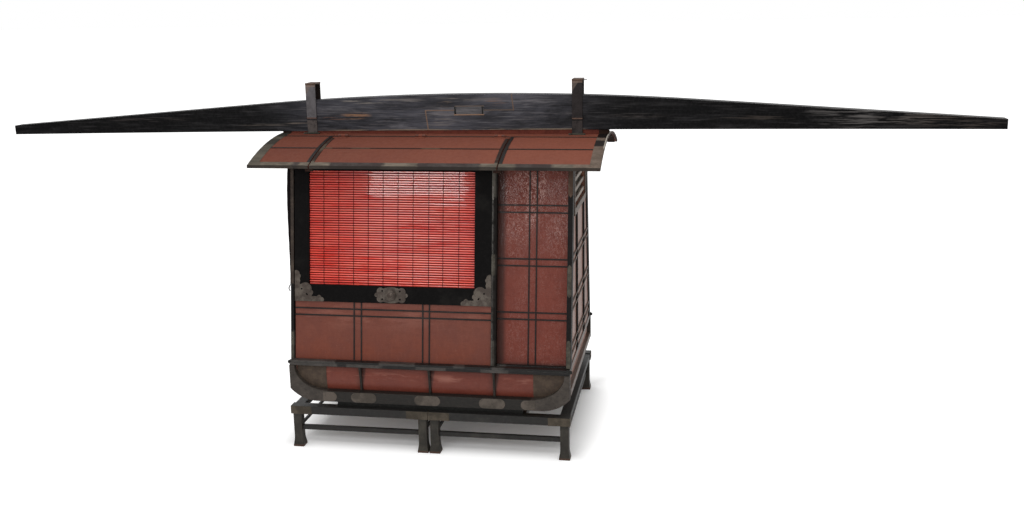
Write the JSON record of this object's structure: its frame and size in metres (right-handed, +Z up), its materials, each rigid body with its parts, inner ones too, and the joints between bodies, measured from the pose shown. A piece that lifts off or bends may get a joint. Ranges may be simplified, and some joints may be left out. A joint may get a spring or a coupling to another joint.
{
  "type": "sedan palanquin on trestles",
  "caption": "Lacquered cabin with sliding doors, slatted blinds and hinged roof flaps, hung under a long carrying beam and stood on two low trestles.",
  "frame": {"origin": "on the floor under the middle of the carrying beam", "axes": "+X along the beam to its rear end, +Y across the cabin, +Z up"},
  "size_m": [3.9602, 0.8184, 1.4058],
  "materials": {
    "trestle": "worn dark green-black lacquer",
    "worn_metal": "worn brownish metal plates",
    "black_frame": "worn black lacquer",
    "clad_rail": "black lacquer with worn metal cladding",
    "plain_wood": "plain softwood",
    "red_lacquer": "satin red-brown lacquer over woven texture",
    "roof_lacquer": "satin red-brown lacquer",
    "batten": "black lacquered battens",
    "bronze": "aged bronze sheet",
    "window_bar": "worn pale wood",
    "dark_blind": "dark split bamboo",
    "rim_metal": "dark grey sheet metal, black patches",
    "iron": "dark brown-grey iron",
    "beam_lacquer": "black lacquer with lengthwise scuffs",
    "black_lacquer": "deep black lacquer",
    "red_blind": "glossy red lacquered bamboo slats",
    "fitting": "grey-brown iron fittings"
  },
  "bodies": {
    "cabin": {"trestle_top_rails": "trestle", "trestle_cross_rails": "trestle", "trestle_legs": "trestle", "trestle_stretchers": "trestle", "trestle_side_stretchers": "trestle", "trestle_caps": "worn_metal", "runner_strips": "black_frame", "bottom_rail_near": "clad_rail", "bottom_rail_far": "clad_rail", "bottom_end_rails": "black_frame", "floor_board": "plain_wood", "skirt_near": "red_lacquer", "skirt_far": "red_lacquer", "skirt_ends": "red_lacquer", "skirt_ribs": "black_frame", "corner_fans": "bronze", "rail_plates": "worn_metal", "sill_rails": "black_frame", "end_sills": "black_frame", "corner_posts": "black_frame", "side_panels": "red_lacquer", "side_battens": "batten", "end_wall_front": "red_lacquer", "end_wall_rear": "red_lacquer", "end_battens": "batten", "window_bars": "window_bar", "front_blind": "dark_blind", "headers": "black_frame", "rafters": "black_frame", "ridge_purlin": "black_frame", "hinge_purlins": "black_frame", "roof_shell": "roof_lacquer", "roof_rim": "rim_metal", "roof_battens": "batten", "roof_hinges": "iron", "hoop_front": "iron", "hoop_rear": "iron", "beam_saddle": "black_frame", "beam_front": "beam_lacquer", "beam_rear": "beam_lacquer", "beam_key": "beam_lacquer"},
    "door_near": {"door_frame_near": "black_lacquer", "door_panel_near": "red_lacquer", "door_battens_near": "batten", "door_edge_near": "iron", "door_blind_near": "red_blind", "door_fittings_near": "fitting"},
    "door_far": {"door_frame_far": "black_lacquer", "door_panel_far": "red_lacquer", "door_battens_far": "batten", "door_edge_far": "iron", "door_blind_far": "red_blind", "door_fittings_far": "fitting"},
    "flap_near": {"flap_near": "roof_lacquer", "flap_battens_near": "rim_metal"},
    "flap_far": {"flap_far": "roof_lacquer", "flap_battens_far": "rim_metal"}
  },
  "joints": [
    {"name": "door_near_slide", "type": "slide", "parent": "cabin", "child": "door_near", "axis": [1, 0, 0], "range_m": [0, 0.26]},
    {"name": "door_far_slide", "type": "slide", "parent": "cabin", "child": "door_far", "axis": [1, 0, 0], "range_m": [0, 0.26]},
    {"name": "flap_near_hinge", "type": "hinge", "parent": "cabin", "child": "flap_near", "pos_m": [-0.13, -0.1005, 1.19473], "axis": [-1, 0, 0], "range_deg": [0, 122]},
    {"name": "flap_far_hinge", "type": "hinge", "parent": "cabin", "child": "flap_far", "pos_m": [-0.13, 0.1005, 1.19473], "axis": [1, 0, 0], "range_deg": [0, 122]}
  ]
}
